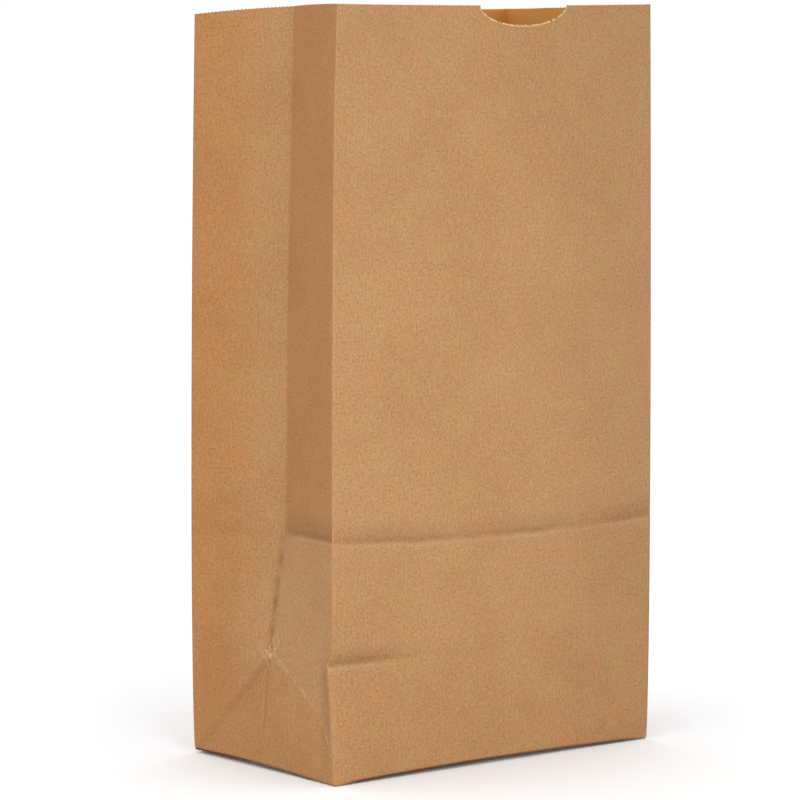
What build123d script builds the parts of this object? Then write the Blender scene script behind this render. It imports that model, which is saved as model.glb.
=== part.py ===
from build123d import *
import math
import os

# Kraft paper bag with a square block bottom, standing open.
# The sheet is divided at its creases, because every crease is a hinge of the bag.
# Origin: middle of the rest face. The front is -Y, +Z is up and +X is to the right. Units: mm.

# Driving dimensions
bag_width = 152.0      # across the front panel
bag_depth = 87.0       # a gusset opened flat, which is also the depth of the bottom
bag_height = 282.0     # from the floor to the lip
paper = 0.15           # caliper of the kraft sheet
paste = 0.05           # dried paste between two layers
crease_gap = 0.05      # play left at each crease, so that neighbouring panels never bind
notch_width = 42.0     # thumb notch, along the front lip
notch_depth = 7.8
notch_offset = 12.0    # the notch sits to the right of the middle
seam_width = 14.0      # overlap of the tube's long seam
seam_offset = 17.0     # from the middle of the back panel to the middle of the seam
outer_flap_reach = 0.8  # share of the bottom's depth that the outer bottom flap covers
inner_flap_reach = 0.6  # share that the inner bottom flap covers

# Worked out from the driving dimensions
half_width = bag_width / 2
half_depth = bag_depth / 2
fold_height = bag_depth / 2            # crease across the front panel, half the depth up
bottom_stack = 3 * paper + paste       # two flaps, the paste between them and the side tucks
inner_y = half_depth - paper           # inner faces of the front and back panels
foot = bottom_stack + crease_gap       # lower edge of every panel that stands on the bottom


def save(shape, node):
    export_step(shape, f"parts/{node}.step")


def block(x0, x1, y0, y1, z0, z1):
    """A flat box of paper or paste between two corners."""
    size = (x1 - x0, y1 - y0, z1 - z0)
    middle = ((x0 + x1) / 2, (y0 + y1) / 2, (z0 + z1) / 2)
    return Pos(*middle) * Box(*size)


def side_sheet(outline, side):
    """A flat panel in the plane of a gusset. The outline is in (y, z); side is -1 left, +1 right."""
    x_outer = side * half_width
    face = make_face(Polyline(*[(x_outer, y, z) for y, z in outline], close=True))
    return extrude(face, amount=paper, dir=(-side, 0, 0))


def level_sheet(outline, z0, thickness):
    """A flat layer of the bottom. The outline is in (x, y)."""
    face = make_face(Polyline(*[(x, y, z0) for x, y in outline], close=True))
    return extrude(face, amount=thickness, dir=(0, 0, 1))


def back_parts():
    """The back panel with the long seam that closes the tube, pasted inside it."""
    panel = block(-half_width, half_width, inner_y, half_depth, 0, bag_height)
    seam_left = seam_offset - seam_width / 2
    seam_right = seam_offset + seam_width / 2
    paste_face = inner_y - paste
    glue = block(seam_left, seam_right, paste_face, inner_y, foot, bag_height)
    lap = block(seam_left, seam_right, paste_face - paper, paste_face, foot, bag_height)
    return {"back_panel": panel, "seam_paste": glue, "seam_lap": lap}


def front_parts():
    """The front panel with its thumb notch, and the strip below the fold crease."""
    panel = block(-half_width, half_width, -half_depth, -inner_y, fold_height + crease_gap, bag_height)
    notch_outline = Plane.XZ * Pos(notch_offset, bag_height) * Ellipse(notch_width / 2, notch_depth)
    cutter = extrude(notch_outline, amount=half_depth + paper)
    strip = block(-half_width, half_width, -half_depth, -inner_y, foot, fold_height)
    return {"front_panel": panel - cutter, "front_lower_strip": strip}


def side_parts(side, name):
    """One gusset: a rear and a front half, and the two facets that let the bottom turn up."""
    back_end = inner_y - crease_gap
    front_end = -back_end
    slack = crease_gap * math.sqrt(2)    # play along a diagonal crease, measured along an axis
    rear_half = [
        (back_end, foot + slack),
        (back_end, bag_height),
        (crease_gap, bag_height),
        (crease_gap, fold_height + slack),
    ]
    front_half = [
        (front_end, fold_height + crease_gap),
        (front_end, bag_height),
        (-crease_gap, bag_height),
        (-crease_gap, fold_height + crease_gap),
    ]
    bottom_facet = [
        (front_end + slack, foot),
        (back_end - slack, foot),
        (0, fold_height - slack),
    ]
    strip_facet = [
        (front_end, foot + slack),
        (front_end, fold_height),
        (-slack, fold_height),
    ]
    return {
        f"{name}_gusset_rear": side_sheet(rear_half, side),
        f"{name}_gusset_front": side_sheet(front_half, side),
        f"{name}_bottom_facet": side_sheet(bottom_facet, side),
        f"{name}_strip_facet": side_sheet(strip_facet, side),
    }


def bottom_parts():
    """The block bottom: an outer flap pasted over an inner flap, with a tuck at each side."""
    front_end = -half_depth
    back_end = inner_y - crease_gap
    outer = block(-half_width, half_width, half_depth - outer_flap_reach * bag_depth, back_end, 0, paper)
    inner_back = front_end + inner_flap_reach * bag_depth
    glue_front = half_depth - outer_flap_reach * bag_depth
    inner_low = paper + paste
    inner = block(-half_width, half_width, front_end, inner_back, inner_low, inner_low + paper)
    glue = block(-half_width, half_width, glue_front, inner_back, paper, inner_low)
    parts = {"bottom_outer_flap": outer, "bottom_inner_flap": inner, "bottom_paste": glue}
    for side, name in ((-1, "left"), (1, "right")):
        outline = [
            (side * half_width, front_end),
            (side * half_width, back_end),
            (side * (half_width - half_depth), 0),
        ]
        parts[f"bottom_tuck_{name}"] = level_sheet(outline, inner_low + paper, paper)
    return parts


os.makedirs("parts", exist_ok=True)
nodes = {**back_parts(), **front_parts(), **bottom_parts()}
nodes.update(side_parts(-1, "left"))
nodes.update(side_parts(1, "right"))
for node, shape in nodes.items():
    save(shape, node)
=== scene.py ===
import math

import bmesh
import bpy
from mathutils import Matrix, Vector, noise


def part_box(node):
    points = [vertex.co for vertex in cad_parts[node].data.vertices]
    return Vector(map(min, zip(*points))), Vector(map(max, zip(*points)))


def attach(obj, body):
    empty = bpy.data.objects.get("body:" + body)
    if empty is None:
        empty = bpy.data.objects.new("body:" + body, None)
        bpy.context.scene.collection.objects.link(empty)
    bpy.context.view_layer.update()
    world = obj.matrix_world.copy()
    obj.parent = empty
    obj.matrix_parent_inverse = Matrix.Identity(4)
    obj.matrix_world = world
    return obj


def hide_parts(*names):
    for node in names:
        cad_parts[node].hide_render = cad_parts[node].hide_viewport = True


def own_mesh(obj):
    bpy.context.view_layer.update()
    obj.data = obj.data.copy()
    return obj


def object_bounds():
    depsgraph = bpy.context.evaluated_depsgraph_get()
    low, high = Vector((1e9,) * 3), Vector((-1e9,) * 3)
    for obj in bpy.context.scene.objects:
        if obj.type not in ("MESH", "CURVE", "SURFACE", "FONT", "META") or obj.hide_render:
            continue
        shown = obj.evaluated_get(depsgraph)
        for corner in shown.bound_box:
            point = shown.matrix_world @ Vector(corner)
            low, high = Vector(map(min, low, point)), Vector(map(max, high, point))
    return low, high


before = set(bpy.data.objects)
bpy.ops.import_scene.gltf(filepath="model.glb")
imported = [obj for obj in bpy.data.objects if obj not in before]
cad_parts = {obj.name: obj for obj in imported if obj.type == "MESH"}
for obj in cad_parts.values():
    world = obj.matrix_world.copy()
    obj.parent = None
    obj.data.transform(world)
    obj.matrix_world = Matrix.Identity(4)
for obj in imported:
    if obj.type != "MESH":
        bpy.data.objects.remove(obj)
cad_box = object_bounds()

# ---------------------------------------------------------------------------------------------
# Camera. A long lens about one and a half metres away and level with the lip of the bag. It looks
# slightly down, from the left of the front panel, so that the front and the left side both show.
camera_aim = (-0.0073, 0.0048, 0.1327)
camera_distance = 1.4873
camera_turn = math.radians(38.859)     # to the left of the front panel's square-on view
camera_tip = math.radians(5.638)       # looking down
look = Vector((
    math.sin(camera_turn) * math.cos(camera_tip),
    math.cos(camera_turn) * math.cos(camera_tip),
    -math.sin(camera_tip),
))
camera_data = bpy.data.cameras.new("camera")
camera_data.lens = 176.67
camera_data.sensor_width = 36
camera = bpy.data.objects.new("camera", camera_data)
camera.location = Vector(camera_aim) - look * camera_distance
camera.rotation_euler = (math.pi / 2 - camera_tip, 0, -camera_turn)
bpy.context.scene.collection.objects.link(camera)
bpy.context.scene.camera = camera

# ---------------------------------------------------------------------------------------------
# Studio. A white sweep under a white sky, with an even bank of lights overhead. One softbox stands
# in front, a little to the left, and a larger one stands well to the left.
bpy.context.scene.view_settings.view_transform = "Standard"


def soft_light(name, place, target, size, power):
    """A square softbox that faces a target."""
    data = bpy.data.lights.new(name, "AREA")
    data.size = size
    data.energy = power
    lamp = bpy.data.objects.new(name, data)
    lamp.location = place
    lamp.rotation_euler = (Vector(target) - Vector(place)).to_track_quat("-Z", "Y").to_euler()
    bpy.context.scene.collection.objects.link(lamp)


sky = bpy.data.worlds.new("sky")
sky.use_nodes = True
sky.node_tree.nodes["Background"].inputs["Color"].default_value = (1, 1, 1, 1)
sky.node_tree.nodes["Background"].inputs["Strength"].default_value = 1.0
bpy.context.scene.world = sky
soft_light("front_left", (-0.38, -0.90, 0.22), (-0.02, 0, 0.16), 0.34, 2.8)
soft_light("left", (-1.5, -0.45, 0.45), (-0.02, 0, 0.14), 0.8, 3.0)
ceiling = bpy.data.lights.new("ceiling", "SUN")     # an even bank of lights over the whole floor
ceiling.energy = 0.35
ceiling.angle = math.radians(90)
ceiling_lamp = bpy.data.objects.new("ceiling", ceiling)
ceiling_lamp.rotation_euler = (math.radians(-8), 0, 0)
bpy.context.scene.collection.objects.link(ceiling_lamp)

sweep_paint = bpy.data.materials.new("white_studio_paper")
sweep_paint.use_nodes = True
sweep_paint.node_tree.nodes["Principled BSDF"].inputs["Base Color"].default_value = (0.94, 0.96, 0.98, 1)
sweep_paint.node_tree.nodes["Principled BSDF"].inputs["Roughness"].default_value = 0.9
sweep_paint.node_tree.nodes["Principled BSDF"].inputs["Specular IOR Level"].default_value = 0.1
floor_mesh = bmesh.new()
bmesh.ops.create_grid(floor_mesh, x_segments=1, y_segments=1, size=30)
floor_data = bpy.data.meshes.new("floor")
floor_mesh.to_mesh(floor_data)
floor_mesh.free()
floor_data.materials.append(sweep_paint)
floor = bpy.data.objects.new("floor", floor_data)
bpy.context.scene.collection.objects.link(floor)

# ---------------------------------------------------------------------------------------------
# Kraft sheet. One unbleached sheet makes the whole bag: it is folded to a tube with a tucked gusset
# at each side, and its lower end is opened, folded flat and pasted. All sizes here are millimetres.
low, high = (Vector(corner) * 1000 for corner in cad_box)
half_width = (high.x - low.x) / 2
half_depth = (high.y - low.y) / 2
height = high.z
seam_low, seam_high = (Vector(corner) * 1000 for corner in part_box("seam_lap"))
fold = half_depth                      # level of the crease where the bottom turns up
press = 2 * half_depth                 # level that the turned-up bottom reaches and marks
caliper = 0.15                         # thickness of the paper
paste_film = 0.05                      # thickness of the dried paste
play = 0.01                            # air between layers that only lie on each other
cell = 0.8                             # grid across the sheet: half the pitch of the lip's teeth
row = 1.5                              # grid up the sheet
corner_radius = 0.9                    # of every right-angled fold
notch_middle, notch_half, notch_drop = 12.0, 21.0, 7.5   # thumb notch in the front lip


def between(value, start, end):
    """0 before start, 1 after end, and smooth between them."""
    t = min(1, max(0, (value - start) / (end - start)))
    return t * t * (3 - 2 * t)


def spring(z):
    """How far the tube springs out sideways between its bottom and its lip."""
    up = min(1, max(0, z / height))
    return 1.5 * math.sin(math.pi * up ** 0.62) ** 0.8 if 0 < up < 1 else 0


def gusset_depth(z):
    """How far the middle of a gusset is tucked in at a level: little at the stiff bottom."""
    at_fold, at_press, at_lip = 3.9, 10.8, 13.9
    lower = at_fold + (z - fold) * (at_press - at_fold) / (press - fold)
    upper = at_press + (z - press) * (at_lip - at_press) / (height - press)
    gap = upper - lower
    return (upper + lower) / 2 - math.sqrt(gap * gap + 0.6) / 2 + spring(z)


def bowed_crease(reach):
    """Level of the crease that runs from the middle of a side to its lower front corner."""
    return fold - 0.55 * reach - 0.45 * half_depth * (reach / half_depth) ** 8


def tuck(y, z):
    """How far a gusset is pushed in. Below the fold level it lies in three facets."""
    across = max(0, 1 - math.sqrt(y * y + 0.09) / half_depth)
    if z >= fold:
        return gusset_depth(z) * across
    crease = fold - y if y > 0 else bowed_crease(-y)
    return gusset_depth(fold) * across * min(1, max(0, z) / max(0.01, crease))


def fold_mark(level, dent, above, ridge, below):
    """The lasting mark of an opened fold: the sheet sinks down to it and swells under it."""
    if level >= 0:
        return -dent * math.exp(-level / above)
    step = math.exp(level / 0.75)
    return ridge * math.exp(level / below) * (1 - step) - dent * step


def press_strength(x):
    """The pressed mark runs the whole width of the front, and comes and goes a little."""
    return 0.75 + 0.5 * noise.noise(Vector((x / 30, 0.3, 0)))


def crease_strength(x):
    """The fold crease has been straightened, except near the left corner."""
    return 0.10 + 0.90 * (1 - between(x, -half_width + 10, -half_width + 46))


def press_level(across):
    """The pressed mark sags a little between the two edges of the front."""
    wander = 0.8 * noise.noise(Vector((across / 11, 5, 5)))
    return press - 1.8 * (1 - (across / half_width) ** 2) + wander


def front_relief(x, z):
    """Outward relief of the front: one soft swell, the pressed mark, and the fold crease."""
    swell = 2.2 * (1 - (x / half_width) ** 2) * math.sin(math.pi * min(1, z / height) ** 0.8)
    mark = fold_mark(z - press_level(x), 0.30, 3.0, 0.22, 8) * press_strength(x)
    crease = fold_mark(z - fold, 0.22, 2.6, 0.26, 6) * crease_strength(x)
    return swell + (mark + crease) * between(half_width - abs(x), -1.5, 2.5)


def back_relief(x, z):
    """Outward relief of the back: it leans out at the lip, and steps down at the edge of the seam."""
    step = caliper * between(x, seam_high.x, seam_high.x + 0.6) * between(half_width - x, 0, 20)
    return 1.2 * (1 - (x / half_width) ** 2) * z / height - step


def side_relief(y, z):
    """Outward relief of a gusset: a pressed fold on its front half, and the dented strip facet."""
    front_half = between(-y, 0, 10) * between(half_depth + y, -1, 1.5)
    pressed = fold_mark(z - press - 0.5, 0.60, 3.0, 0.40, 4) * front_half
    dent = -1.3 * math.exp(-((y + half_depth - 6) / 5) ** 2 - ((z - fold + 15) / 14) ** 2)
    dent *= between(half_depth + y, 0, 4)
    crumple = 0.7 * noise.noise(Vector((y / 3.1, z / 3.1, 2))) * math.exp(-(y * y + (z - fold - 2) ** 2) / 60)
    return pressed + dent + crumple


def cockle(x, y, z):
    """The slight unevenness that paper takes up as it is handled and as its damp changes."""
    broad = noise.noise(Vector((x, y, z * 0.7)) / 46)
    fine = noise.noise(Vector((x, y, z * 0.8)) / 17 + Vector((7, 3, 1)))
    return 0.42 * broad + 0.16 * fine


def round_off(distance, radius=corner_radius):
    """How far a right-angled fold is rounded off at a distance from it."""
    if distance >= radius:
        return 0
    return radius * ((radius - distance) / (2 * radius)) ** 2


def corner_softness(x, y, z):
    """The radius of an upright corner. The left front one is loose below the fold crease."""
    loose = (x < 0) * (y < 0) * between(fold - z, 0, 3) * between(z, 4, 20)
    return corner_radius + 2.2 * loose


def corner_kink(x, y, z):
    """How far the left front corner stands out where the fold crease was turned over."""
    level = z - fold
    out = math.exp(-level / 1.8) if level > 0 else math.exp(level / 22)
    return 2.7 * out * (x < 0) * (1 - between(half_width + x, 0, 9)) * (1 - between(half_depth + y, 0, 7))


def stand(wall, across, level):
    """Where a point of the folded sheet stands in the open bag, in millimetres."""
    normals = {"front": (0, -1, 0), "back": (0, 1, 0), "left": (-1, 0, 0), "right": (1, 0, 0)}
    normal = normals.get(wall, (0, 0, -1))
    if wall in ("front", "back"):
        x, y, z = across, half_depth * normal[1], level
        relief = front_relief(x, z) if wall == "front" else back_relief(x, z)
        along_edge = half_width - abs(x)
    elif wall in ("left", "right"):
        x, y, z = half_width * normal[0], across, level
        relief = side_relief(y, z) - tuck(y, z)
        along_edge = half_depth - abs(y)
    else:
        x, y, z = across, level, 0
        relief = 0
        along_edge = min(half_width - abs(x), half_depth - abs(y))
    point = Vector((x, y, z))
    inward = Vector((-math.copysign(1, x), -math.copysign(1, y), 0))
    near_x = 1 - between(half_width - abs(x), 0, corner_radius)
    near_y = 1 - between(half_depth - abs(y), 0, corner_radius)
    if wall == "bottom":
        lift = round_off(along_edge)
        point += lift * Vector((inward.x * near_x * (1 + near_y), inward.y * near_y * (1 + near_x), 1))
    else:
        point += round_off(along_edge, corner_softness(x, y, z)) * inward
        point.x -= corner_kink(x, y, z)
        base = round_off(z)
        point += base * Vector((inward.x * near_x, inward.y * near_y, 1))
        point += Vector(normal) * relief
        calm = between(along_edge, 0, 8) * between(z, 0, 10)
        point += Vector(normal) * cockle(x, y, z) * calm
    # the tube springs out a little at mid height, and its back stands lower and nearer at the lip
    up = z / height
    backness = (y + half_depth) / (2 * half_depth)
    point.x += spring(z) * x / half_width
    point.y -= 1.9 * backness * up * up
    rightness = (x + half_width) / (2 * half_width)
    lip_drop = 3.7 * backness ** 2.3 * (1 - rightness) + 1.65 * (1 - (1 - backness) ** 2.2) * rightness
    lip_drop += 0.5 * (1 - backness) * (1 - (x / half_width) ** 2)
    point.z -= lip_drop * up
    point.x += 1.2 * (1 - backness) * (1 - rightness) * up ** 8
    # the folds were made a little high at the left front corner
    askew = between(z, 0, fold) * (1 - between(z, press + 10, press + 110))
    point.z += 1.8 * askew * (1 - rightness) * max(0, 1 - 2 * backness)
    # the front and left edges of the bottom are bowed up and clear the table between their corners
    arch = 1.3 * (1 - (x / half_width) ** 2) * (1 - between(backness, 0, 0.4))
    side_arch = 1.3 * (1 - ((y - 14) / 48) ** 2) * between(half_depth + y, 0, 30)
    arch += side_arch * (1 - between(x + half_width, 0, 26))
    point.z += arch * math.exp(-z / 14)
    return point


def line(distance, width):
    """1 on a line, falling softly to 0 at a few widths from it."""
    return math.exp(-(distance / width) ** 2)


def notch_distance(across, level):
    """How far a point of the front lies outside the half ellipse of the notch, in millimetres."""
    x, z = (across - notch_middle) / notch_half, (level - height) / notch_drop
    reach = math.hypot(x, z)
    return (reach - 1) * math.hypot(x * notch_half, z * notch_drop) / max(reach, 0.01)


def marks(wall, across, level):
    """How pale the sheet is where its fibres are broken, how much shade is painted in its creases, at the
    foot of its walls and along the bottom's edges, and how much darker it is along the edges of the seam lap.
    """
    patchy = 0.55 + 0.9 * noise.noise(Vector((across / 5, level / 5, 4)))
    broken = dark = 0.0
    if wall == "front":
        edge = between(half_width - abs(across), 0, 2)
        pressed, folded = level - press_level(across), level - fold
        # painted shade in and just under the pressed mark
        pressed_in = 0.80 * line(pressed - 0.8, 1.4) + 0.42 * line(pressed - 3.5, 3)
        dark += press_strength(across) * pressed_in * edge
        broken += 0.35 * press_strength(across) * line(pressed + 1.1, 1.0) * edge
        # painted shade along the fold crease
        dark += crease_strength(across) * (0.75 * line(folded, 1.1) + 0.75 * line(folded - 2.0, 2.2))
        broken += 0.30 * crease_strength(across) * line(folded + 2.0, 1.2)
        broken += 0.30 * patchy * line(half_width + across, 0.6)
        # painted shadow along the foot of the front, where it meets the table
        painted_table_shadow = (1 - between(level, 0.6, 1.6)) * between(half_width - abs(across), 0, 14)
        dark += (3.4 - 1.0 * between(across, -20, 30)) * painted_table_shadow
        if notch_distance(across, level) < 0.5:
            broken += 1.5 + noise.noise(Vector((across, level, 0)))
    elif wall in ("left", "right"):
        y, z = across, level
        reach = max(0, -y)
        if z > fold:
            # painted shade along the middle crease of the gusset
            low_part = between(press + 4 - z, 0, 12)
            dark += 0.18 * line(y, 0.6) + 1.6 * patchy * line(y - 1.1, 1.3) * low_part
        pressed = z - press - 0.5
        if y < 0:
            # painted shade in and under the pressed fold of the gusset's front half
            dark += (0.80 * line(pressed - 0.8, 1.3) + 0.60 * line(pressed - 4, 4)) * between(reach, -2, 6)
            broken += 0.35 * line(pressed + 0.9, 0.9) * between(reach, 2, 16)
        # painted shade along the pressed line of the rear half
        dark += 0.22 * line(pressed, 1.6) * between(y, 2, 8) * between(half_depth - y, 0, 14)
        near_point = math.exp(-(y * y + (z - fold - 2) ** 2) / 70)
        crumpled = max(0, noise.noise(Vector((y / 1.6, z / 1.6, 9)))) * near_point
        broken += 1.8 * crumpled + 0.5 * line(z - fold + 0.1 * reach, 0.5) * between(-y, -4, 0) * patchy
        # painted shade among the crumples at the point of the tuck
        dark += 0.8 * max(0, -noise.noise(Vector((y / 2.0, z / 2.0, 9)))) * near_point
        if z < fold:
            if y > 0:
                # painted shade along the rear diagonal crease
                dark += 0.45 * line((y + z - fold) / 1.41 + 1.4, 2.0)
                broken += 0.15 * patchy * line((y + z - fold) / 1.41 - 0.6, 0.7)
            else:
                broken += 0.62 * patchy * line((z - bowed_crease(reach)) * 0.8, 0.85)
            # painted shadow along the foot of the gusset, where it meets the table
            painted_table_shadow = (1 - between(level, 0.6, 1.5)) * between(half_depth + y, 0, 20)
            dark += (2.0 + 1.4 * between(y, 0, 20)) * painted_table_shadow
            # painted shade along a short line near the middle and beside the dented strip facet
            dark += 0.95 * line(y - 0.8, 0.5) * between(z, 12, 16)
            broken += 0.35 * line(y - 1.8, 0.5) * between(z, 8, 16) * patchy
            dark += 0.45 * line(y + half_depth - 6, 3.4) * between(fold - z, 0, 6) * between(z, 0, 16)
    elif wall == "back":
        # darker along the edges of the seam lap
        dark += 0.9 * line(across - seam_high.x, 0.45) + 0.2 * line(across - seam_low.x, 0.9)
        broken += 0.3 * line(across - seam_high.x + 0.9, 0.7)
    elif wall == "bottom":
        # painted shadow along the bottom's edges, where they meet the table
        dark += 2.6 * line(min(half_width - abs(across), half_depth - abs(level)), 1.0)
    return broken, dark


def painted_bounce_share(wall, across, level):
    """How much warmer the sheet is painted where walls that face each other would light it: painted bounce
    light.
    """
    if wall == "front":
        return 0.15 * (1 - between(level, 10, press))
    if wall not in ("left", "right"):
        return 0.6
    if across > 0:
        return 0.20 + 0.80 * between(across, 6, 30) if level + across > fold else 0.8
    if level > fold:
        return 1.0 - 0.95 * between(press + 3 - level, 0, 5)
    return 0.15 if level > bowed_crease(-across) else 0.65


def painted_falloff_share(wall, across, level):
    """How much shade is painted on the front, towards its right edge and its lip, where less light falls; the
    other walls but the bottom get a little of it too.
    """
    if wall != "front":
        return 0.15 * (wall != "bottom")
    return 0.50 * between(across, -10, half_width) + 0.28 * between(level, 190, height)


def sheet_grid(width, length, across=cell, along=row):
    """A level grid of paper with one corner at the origin."""
    bm = bmesh.new()
    bmesh.ops.create_grid(bm, x_segments=round(width / across), y_segments=round(length / along), size=0.5)
    bmesh.ops.scale(bm, vec=(width, length, 1), verts=bm.verts)
    bmesh.ops.translate(bm, vec=(width / 2, length / 2, 0), verts=bm.verts)
    return bm


def trim(bm, point, away):
    """Cuts the flat sheet along a line through a point, and drops the side that away points to."""
    bmesh.ops.bisect_plane(
        bm, geom=bm.verts[:] + bm.edges[:] + bm.faces[:], dist=0.0001,
        plane_co=(*point, 0), plane_no=(*away, 0), clear_outer=True,
    )


def crease_rows(bm, level):
    """Adds rows of points close to a crease, where the sheet bends sharply."""
    for step in (-5, -3.2, -2.1, -1.4, -0.9, -0.5, -0.2, 0, 0.3, 0.7, 1.3):
        bmesh.ops.bisect_plane(
            bm, geom=bm.verts[:] + bm.edges[:] + bm.faces[:], dist=0.05,
            plane_co=(0, level + step, 0), plane_no=(0, 1, 0),
        )


def sheet_place(wall, across, level):
    """The point's place on the flat sheet in metres, which the paper's pattern follows."""
    if wall in ("front", "bottom"):
        return across / 1000, level / 1000
    if wall == "back":
        return (3 * half_width + 2 * half_depth - across - half_width) / 1000, level / 1000
    side = -1 if wall == "left" else 1
    return side * (half_width + across + half_depth) / 1000, level / 1000


def finish_sheet(
    name, bm, wall, body, nodes, material, lift=0.0, teeth=False, thick=caliper,
):
    """Stands a flat piece of sheet up in its place, gives it its thickness and hangs it on its body.
    Lift moves the layer into the bag."""
    flat = bm.loops.layers.uv.new("sheet")
    for face in bm.faces:
        face.smooth = True
        for loop in face.loops:
            loop[flat].uv = sheet_place(wall, loop.vert.co.x, loop.vert.co.y)
    broken = bm.verts.layers.float.new("broken_fibre")
    dark = bm.verts.layers.float.new("painted_shade_lines")
    painted_bounce_tint = bm.verts.layers.float.new("painted_bounce_tint")
    painted_falloff = bm.verts.layers.float.new("painted_falloff")
    inward = {"front": (0, 1, 0), "back": (0, -1, 0), "left": (1, 0, 0), "right": (-1, 0, 0)}
    into = Vector(inward.get(wall, (0, 0, 1)))
    for vert in bm.verts:
        across, level = vert.co.x, vert.co.y
        vert[broken], vert[dark] = marks(wall, across, level)
        vert[painted_bounce_tint] = painted_bounce_share(wall, across, level)
        vert[painted_falloff] = painted_falloff_share(wall, across, level)
        tooth = 0
        if teeth and level > height - 0.01:
            tooth = 0.28 * (round(across / cell) % 2)
        place = stand(wall, across, level) + into * lift
        place.z -= tooth
        vert.co = place / 1000
    bm.normal_update()
    if sum(face.normal.dot(-into) for face in bm.faces) < 0:
        bmesh.ops.reverse_faces(bm, faces=bm.faces)
    mesh = bpy.data.meshes.new(name)
    bm.to_mesh(mesh)
    bm.free()
    mesh.materials.append(material)
    piece = bpy.data.objects.new(name, mesh)
    bpy.context.scene.collection.objects.link(piece)
    wall_thickness = piece.modifiers.new("caliper", "SOLIDIFY")
    wall_thickness.thickness = thick / 1000
    wall_thickness.offset = -1
    bpy.context.view_layer.update()
    solid = bpy.data.meshes.new_from_object(piece.evaluated_get(bpy.context.evaluated_depsgraph_get()))
    piece.modifiers.clear()
    piece.data = solid
    solid.set_sharp_from_angle(angle=math.radians(50))
    solid.name = name
    inner = solid.attributes.new("inner_face", "FLOAT", "POINT")
    outer_count = len(mesh.vertices)
    inner.data.foreach_set("value", [float(i >= outer_count) for i in range(len(solid.vertices))])
    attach(piece, body)
    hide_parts(*nodes)
    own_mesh(piece)


def linear(code):
    """The linear colour of an sRGB hex code, with an alpha of 1."""
    parts = [int(code[i:i + 2], 16) / 255 for i in (1, 3, 5)]
    return tuple(p / 12.92 if p <= 0.04045 else ((p + 0.055) / 1.055) ** 2.4 for p in parts) + (1,)


def add(tree, kind, settings=None, **inputs):
    """Adds a node to a tree, with its settings, and its inputs as values or as links."""
    node = tree.nodes.new(kind)
    for key, value in (settings or {}).items():
        setattr(node, key, value)
    for key, value in inputs.items():
        by_number = key[0] == "i" and key[1:].isdigit()
        socket = node.inputs[int(key[1:]) if by_number else key.replace("_", " ")]
        if isinstance(value, bpy.types.NodeSocket):
            tree.links.new(value, socket)
        else:
            socket.default_value = value
    return node


# Machine-finished kraft: unbleached softwood fibres, matt, mottled in clouds a few millimetres wide,
# with streaks along the web and short dark and pale fibres. Folds are paler where the fibres broke.
kraft = bpy.data.materials.new("unbleached_kraft_paper")
kraft.use_nodes = True
tree = kraft.node_tree
shader = tree.nodes["Principled BSDF"]
place = add(tree, "ShaderNodeUVMap", {"uv_map": "sheet"}).outputs["UV"]


def pattern(size_mm, stretch=(1, 1), detail=2.0, roughness=0.5, shift=0.0):
    """Noise on the flat sheet. Stretch lengthens its blotches across and along the sheet."""
    scaled = add(
        tree, "ShaderNodeMapping", Vector=place,
        Location=(shift, shift * 0.7, 0), Scale=(1000 / size_mm / stretch[0], 1000 / size_mm / stretch[1], 1),
    )
    return add(
        tree, "ShaderNodeTexNoise", {"noise_dimensions": "2D"},
        Vector=scaled.outputs[0], Scale=1.0, Detail=detail, Roughness=roughness,
    ).outputs["Fac"]


def stretch_range(value, low_in, high_in, low_out=0.0, high_out=1.0):
    """A value spread from one range over another, and held inside it."""
    return add(
        tree, "ShaderNodeMapRange", {"interpolation_type": "SMOOTHSTEP"},
        Value=value, From_Min=low_in, From_Max=high_in, To_Min=low_out, To_Max=high_out,
    ).outputs[0]


def tint(colour, code, share):
    """Mixes a colour into the paper's by a share."""
    mixed = add(tree, "ShaderNodeMix", {"data_type": "RGBA"}, i0=share, i6=colour, i7=linear(code))
    return mixed.outputs[2]


def filtered(colour, code, share):
    """Multiplies the paper's colour by another, by a share, which keeps its grain."""
    settings = {"data_type": "RGBA", "blend_type": "MULTIPLY"}
    return add(tree, "ShaderNodeMix", settings, i0=share, i6=colour, i7=linear(code)).outputs[2]


def times(a, b):
    return add(tree, "ShaderNodeMath", {"operation": "MULTIPLY"}, i0=a, i1=b).outputs[0]


clouds = pattern(40, detail=2)                           # slow change across the web
blush = pattern(13, detail=3, shift=5)                   # redder and yellower patches
grain = pattern(0.9, detail=3, roughness=0.7)            # clumps of fibre, drawn twice their real size
streaks = pattern(0.6, stretch=(1, 8), detail=2)         # fibres laid along the web, the same
wires = pattern(0.8, stretch=(6, 1), detail=2, shift=3)  # wire marks across the web
colour = tint(linear("#A77D54"), "#9F744B", stretch_range(clouds, 0.35, 0.65, 0, 0.6))
colour = tint(colour, "#AE7A4B", stretch_range(blush, 0.48, 0.70, 0, 0.42))
colour = tint(colour, "#A98850", stretch_range(blush, 0.50, 0.30, 0, 0.30))
colour = tint(colour, "#BD946A", stretch_range(grain, 0.48, 0.75, 0, 0.42))
colour = tint(colour, "#7D5430", stretch_range(grain, 0.52, 0.25, 0, 0.56))
colour = tint(colour, "#BE966E", stretch_range(streaks, 0.50, 0.75, 0, 0.26))
colour = tint(colour, "#8A6039", stretch_range(wires, 0.50, 0.25, 0, 0.14))
painted_bounce_tint = add(tree, "ShaderNodeAttribute", {"attribute_name": "painted_bounce_tint"}).outputs["Fac"]
painted_shade_lines = add(tree, "ShaderNodeAttribute", {"attribute_name": "painted_shade_lines"}).outputs["Fac"]
broken_fibre = add(tree, "ShaderNodeAttribute", {"attribute_name": "broken_fibre"}).outputs["Fac"]
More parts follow.
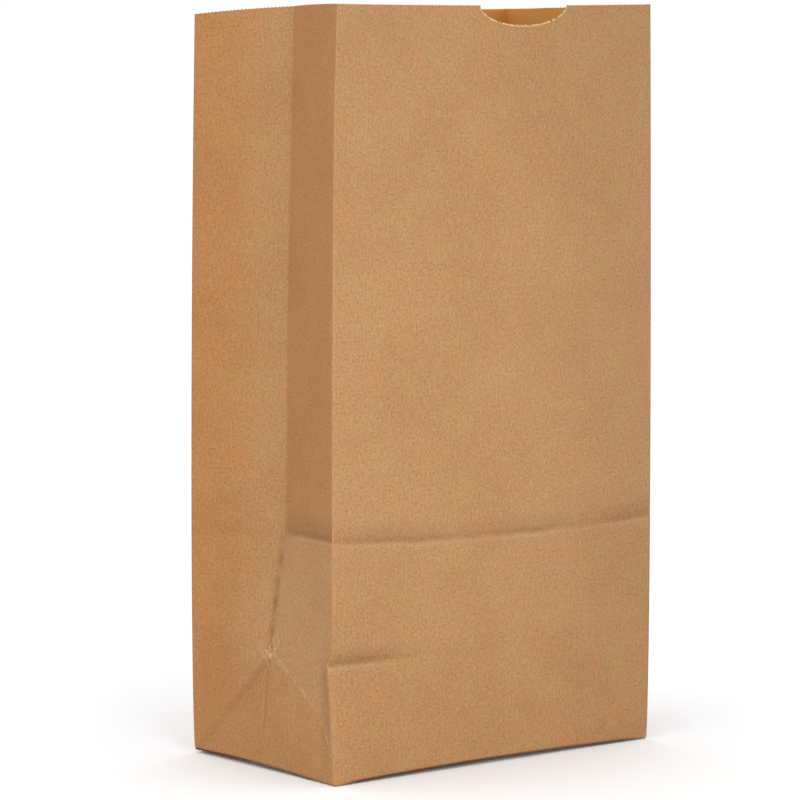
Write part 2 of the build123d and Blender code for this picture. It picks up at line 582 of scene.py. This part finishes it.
inner_face = add(tree, "ShaderNodeAttribute", {"attribute_name": "inner_face"}).outputs["Fac"]
painted_falloff = add(tree, "ShaderNodeAttribute", {"attribute_name": "painted_falloff"}).outputs["Fac"]
# Painted bounce light: a warm filter where walls that face each other would light the sheet.
colour = filtered(colour, "#FBEDD8", painted_bounce_tint)
# Painted shade: a grey filter, darkest on the front towards its right edge and its lip.
colour = filtered(colour, "#E8E8E8", painted_falloff)
# Painted shade: a dark brown mix in the creases, at the foot of the walls and along the bottom's edges, and
# darker lines along the seam lap.
painted_shade_share = add(
    tree, "ShaderNodeMapRange", Value=painted_shade_lines, From_Min=0.0, From_Max=3.0, To_Min=0.0, To_Max=0.95,
).outputs[0]
colour = tint(colour, "#55301A", painted_shade_share)
colour = tint(colour, "#D8B48C", stretch_range(broken_fibre, 0.0, 1.2, 0, 0.75))
colour = tint(colour, "#D5964C", times(inner_face, 0.9))   # light that comes through the sheet warms it
tree.links.new(colour, shader.inputs["Base Color"])
shader.inputs["Roughness"].default_value = 0.82
shader.inputs["Specular IOR Level"].default_value = 0.25
fibre_bump = add(tree, "ShaderNodeBump", Height=grain, Strength=0.25, Distance=0.00008).outputs[0]
tree.links.new(fibre_bump, shader.inputs["Normal"])

# ---------------------------------------------------------------------------------------------
# Back panel. One full width of the sheet, closed down its height by the long seam: the sheet's two
# edges overlap and are held by a line of starch paste.
back = sheet_grid(2 * half_width, height)
bmesh.ops.translate(back, vec=(-half_width, 0, 0), verts=back.verts)
finish_sheet("back_panel_paper", back, "back", "back", ["back_panel"], kraft, teeth=True)
paste = bpy.data.materials.new("dried_starch_paste")
paste.use_nodes = True
film = paste.node_tree.nodes["Principled BSDF"]
on_sheet = add(paste.node_tree, "ShaderNodeUVMap", {"uv_map": "sheet"}).outputs["UV"]
patches = add(
    paste.node_tree, "ShaderNodeTexNoise", {"noise_dimensions": "2D"},
    Vector=on_sheet, Scale=250.0, Detail=3.0,
).outputs["Fac"]
film_colour = add(
    paste.node_tree, "ShaderNodeMix", {"data_type": "RGBA"},
    i0=patches, i6=linear("#A98A5C"), i7=linear("#C7A87A"),
).outputs[2]
paste.node_tree.links.new(film_colour, film.inputs["Base Color"])
film.inputs["Roughness"].default_value = 0.55
for name, node, depth, material, slot, thick in (
    ("seam_paste_line", "seam_paste", caliper, paste, "paste", paste_film),
    ("seam_lap_paper", "seam_lap", caliper + paste_film + play, kraft, "kraft", caliper),
):
    lap = sheet_grid(seam_high.x - seam_low.x, height - seam_low.z)
    bmesh.ops.translate(lap, vec=(seam_low.x, seam_low.z, 0), verts=lap.verts)
    finish_sheet(name, lap, "back", "back", [node], material, lift=depth, teeth=True, thick=thick)

# ---------------------------------------------------------------------------------------------
# Front panel. The face of the bag above the fold crease, with a thumb notch torn through its lip by
# a blunt punch, which leaves the edge of the notch rough and pale.
front = sheet_grid(2 * half_width, height - fold)
bmesh.ops.translate(front, vec=(-half_width, fold, 0), verts=front.verts)
crease_rows(front, press)
crease_rows(front, fold)


def punch(bm, grow):
    """Cuts the lip along the chords of the notch's half ellipse, made larger by grow."""
    steps = 40
    across, down = notch_half + grow, notch_drop + grow
    for i in range(steps):
        a, b = (math.pi * (k / steps) for k in (i, i + 1))
        start = Vector((notch_middle - across * math.cos(a), height - down * math.sin(a), 0))
        end = Vector((notch_middle - across * math.cos(b), height - down * math.sin(b), 0))
        near = [f for f in bm.faces if (f.calc_center_median() - (start + end) / 2).length < 2.5]
        verts = {v for f in near for v in f.verts}
        edges = {e for f in near for e in f.edges}
        bmesh.ops.bisect_plane(
            bm, geom=list(verts) + list(edges) + near, dist=0.0001,
            plane_co=start, plane_no=(end - start).cross(Vector((0, 0, 1))),
        )


punch(front, 0.6)
punch(front, 0.0)
inside = []
for face in front.faces:
    middle = face.calc_center_median()
    if ((middle.x - notch_middle) / notch_half) ** 2 + ((middle.y - height) / notch_drop) ** 2 < 1:
        inside.append(face)
bmesh.ops.delete(front, geom=inside, context="FACES")
for vert in front.verts:
    if vert.co.y < height - 0.01 and abs(notch_distance(vert.co.x, vert.co.y)) < 0.12:
        vert.co.y += 1.0 * noise.noise(Vector((vert.co.x * 1.3, 0, 0)))
finish_sheet("front_panel_paper", front, "front", "front", ["front_panel"], kraft, teeth=True)

# ---------------------------------------------------------------------------------------------
# Fold strip. The lowest part of the front, between the fold crease and the bottom. It turns over
# onto the front panel when the bag is flat.
strip = sheet_grid(2 * half_width, fold)
bmesh.ops.translate(strip, vec=(-half_width, 0, 0), verts=strip.verts)
crease_rows(strip, fold)
crease_rows(strip, 0)
finish_sheet("fold_strip_paper", strip, "front", "strip", ["front_lower_strip"], kraft)

# ---------------------------------------------------------------------------------------------
# Gussets. Each side is two halves that meet at a crease down the middle, which is tucked in. Below
# the fold level the side is creased to a rear facet, a bottom facet and a strip facet.
for side in ("left", "right"):
    rear = sheet_grid(half_depth, height)
    trim(rear, (0, fold), (-1, -1))
    node = f"{side}_gusset_rear"
    finish_sheet(f"{node}_paper", rear, side, f"{side}_rear", [node], kraft, teeth=True)

    half = sheet_grid(half_depth, height - fold)
    bmesh.ops.translate(half, vec=(-half_depth, fold, 0), verts=half.verts)
    crease_rows(half, press)
    crease_rows(half, fold)
    node = f"{side}_gusset_front"
    finish_sheet(f"{node}_paper", half, side, f"{side}_front", [node], kraft, teeth=True)

    facet = sheet_grid(2 * half_depth, fold)
    bmesh.ops.translate(facet, vec=(-half_depth, 0, 0), verts=facet.verts)
    trim(facet, (0, fold), (1, 1))
    trim(facet, (0, fold), (-1, 1))
    crease_rows(facet, 0)
    node = f"{side}_bottom_facet"
    finish_sheet(f"{node}_paper", facet, side, node, [node], kraft)

    facet = sheet_grid(half_depth, fold)
    bmesh.ops.translate(facet, vec=(-half_depth, 0, 0), verts=facet.verts)
    trim(facet, (0, fold), (1, -1))
    node = f"{side}_strip_facet"
    finish_sheet(f"{node}_paper", facet, side, node, [node], kraft)

# ---------------------------------------------------------------------------------------------
# Block bottom. The end of the tube is folded flat in layers: a tuck at each side, the inner flap
# from the front, and the outer flap from the back, pasted over it.
bottom_row = 1.2                       # grid along the flat layers
for name, node, lift, material, slot, thick in (
    ("bottom_outer_flap_paper", "bottom_outer_flap", 0.0, kraft, "kraft", caliper),
    ("bottom_paste_line", "bottom_paste", caliper, paste, "paste", paste_film),
    ("bottom_inner_flap_paper", "bottom_inner_flap", caliper + paste_film, kraft, "kraft", caliper),
):
    flap_low, flap_high = (Vector(corner) * 1000 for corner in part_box(node))
    flap = sheet_grid(flap_high.x - flap_low.x, flap_high.y - flap_low.y, along=bottom_row)
    bmesh.ops.translate(flap, vec=(flap_low.x, flap_low.y, 0), verts=flap.verts)
    finish_sheet(
        name, flap, "bottom", "bottom", [node], material, lift=lift, thick=thick,
    )
for side, turn in (("left", -1), ("right", 1)):
    tuck_sheet = sheet_grid(half_depth, 2 * half_depth, along=bottom_row)
    left_edge = half_width - half_depth if turn > 0 else -half_width
    bmesh.ops.translate(tuck_sheet, vec=(left_edge, -half_depth, 0), verts=tuck_sheet.verts)
    tip = (turn * (half_width - half_depth), 0)
    trim(tuck_sheet, tip, (-turn, 1))
    trim(tuck_sheet, tip, (-turn, -1))
    node = f"bottom_tuck_{side}"
    finish_sheet(
        f"{node}_paper", tuck_sheet, "bottom", "bottom", [node], kraft,
        lift=2 * caliper + paste_film + play,
    )
